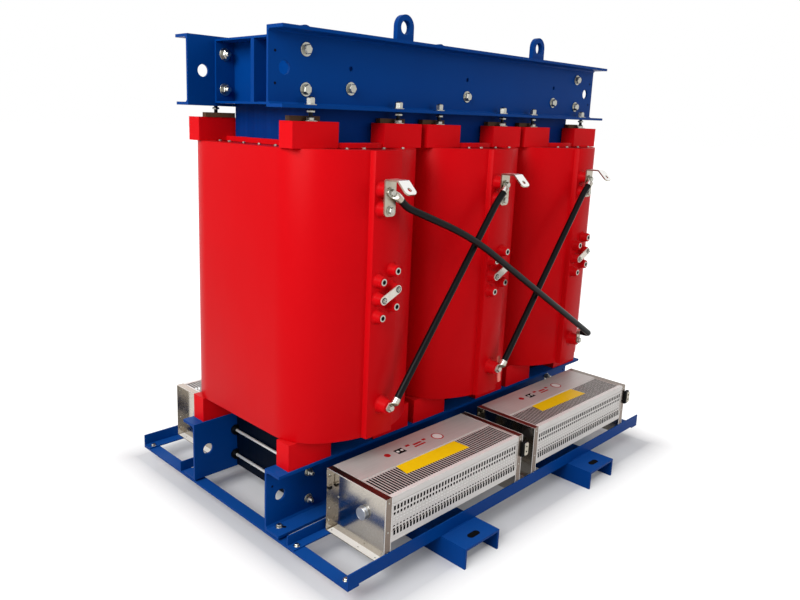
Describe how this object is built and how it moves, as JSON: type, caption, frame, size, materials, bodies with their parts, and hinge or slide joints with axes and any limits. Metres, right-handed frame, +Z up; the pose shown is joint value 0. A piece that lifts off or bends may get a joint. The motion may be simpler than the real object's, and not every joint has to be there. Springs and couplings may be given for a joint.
{
  "type": "power transformer",
  "caption": "Three-phase cast-resin dry-type power transformer with blue clamps and feet, red coils, delta leads and cross-flow cooling fans with turning rotors.",
  "frame": {"origin": "on the floor under the middle of the core", "axes": "+X along the three coils, -Y towards the high-voltage side with the delta leads, +Z up"},
  "size_m": [2.004, 1.582, 1.924],
  "materials": {
    "blue_paint": "semi-gloss blue paint",
    "core_steel": "dull blue lacquer on stacked steel sheets",
    "red_resin": "semi-gloss red casting resin",
    "red_block": "semi-gloss red moulded resin",
    "lv_winding": "matt resin over foil winding",
    "tinned_metal": "tinned",
    "zinc_steel": "zinc plated",
    "bare_aluminium": "mill finish",
    "black_cable": "satin black insulation",
    "fan_sheet": "brushed sheet",
    "fan_end_sheet": "sheet",
    "impeller_metal": "pressed sheet"
  },
  "bodies": {
    "transformer": {"core_legs": "core_steel", "core_top_yoke": "core_steel", "core_bottom_yoke": "core_steel", "hv_coil_a": "red_resin", "hv_coil_b": "red_resin", "hv_coil_c": "red_resin", "lv_coil_a": "lv_winding", "lv_coil_b": "lv_winding", "lv_coil_c": "lv_winding", "coil_bosses": "red_resin", "hv_terminal_bars": "tinned_metal", "tap_links": "tinned_metal", "lead_lugs": "tinned_metal", "delta_lead_a_c": "black_cable", "delta_lead_b_a": "black_cable", "delta_lead_c_b": "black_cable", "upper_blocks": "red_block", "lower_blocks": "red_block", "jack_studs": "zinc_steel", "upper_clamp_front": "blue_paint", "upper_clamp_rear": "blue_paint", "lower_clamp_front": "blue_paint", "lower_clamp_rear": "blue_paint", "lifting_lugs": "blue_paint", "end_beams": "blue_paint", "tie_rods": "zinc_steel", "front_rail": "blue_paint", "rear_rail": "blue_paint", "inner_rails": "blue_paint", "cross_strips": "blue_paint", "foot_left": "blue_paint", "foot_right": "blue_paint", "packing_plates": "blue_paint", "lv_terminals": "bare_aluminium", "neutral_bar": "bare_aluminium", "fan_top_grilles": "fan_sheet", "fan_front_screens": "fan_sheet", "fan_front_left_casing": "fan_sheet", "fan_front_left_end_plates": "fan_end_sheet", "fan_front_right_casing": "fan_sheet", "fan_front_right_end_plates": "fan_end_sheet", "fan_rear_right_casing": "fan_sheet", "fan_rear_right_end_plates": "fan_end_sheet", "fan_rear_left_casing": "fan_sheet", "fan_rear_left_end_plates": "fan_end_sheet"},
    "rotor_front_left": {"fan_front_left_impeller": "impeller_metal"},
    "rotor_front_right": {"fan_front_right_impeller": "impeller_metal"},
    "rotor_rear_right": {"fan_rear_right_impeller": "impeller_metal"},
    "rotor_rear_left": {"fan_rear_left_impeller": "impeller_metal"}
  },
  "joints": [
    {"name": "spin_front_left", "type": "hinge", "parent": "transformer", "child": "rotor_front_left", "pos_m": [-0.4365, -0.541, 0.217], "axis": [1, 0, 0], "continuous": true},
    {"name": "spin_front_right", "type": "hinge", "parent": "transformer", "child": "rotor_front_right", "pos_m": [0.4365, -0.541, 0.217], "axis": [1, 0, 0], "continuous": true},
    {"name": "spin_rear_right", "type": "hinge", "parent": "transformer", "child": "rotor_rear_right", "pos_m": [0.4365, 0.541, 0.217], "axis": [1, 0, 0], "continuous": true},
    {"name": "spin_rear_left", "type": "hinge", "parent": "transformer", "child": "rotor_rear_left", "pos_m": [-0.4365, 0.541, 0.217], "axis": [1, 0, 0], "continuous": true}
  ]
}
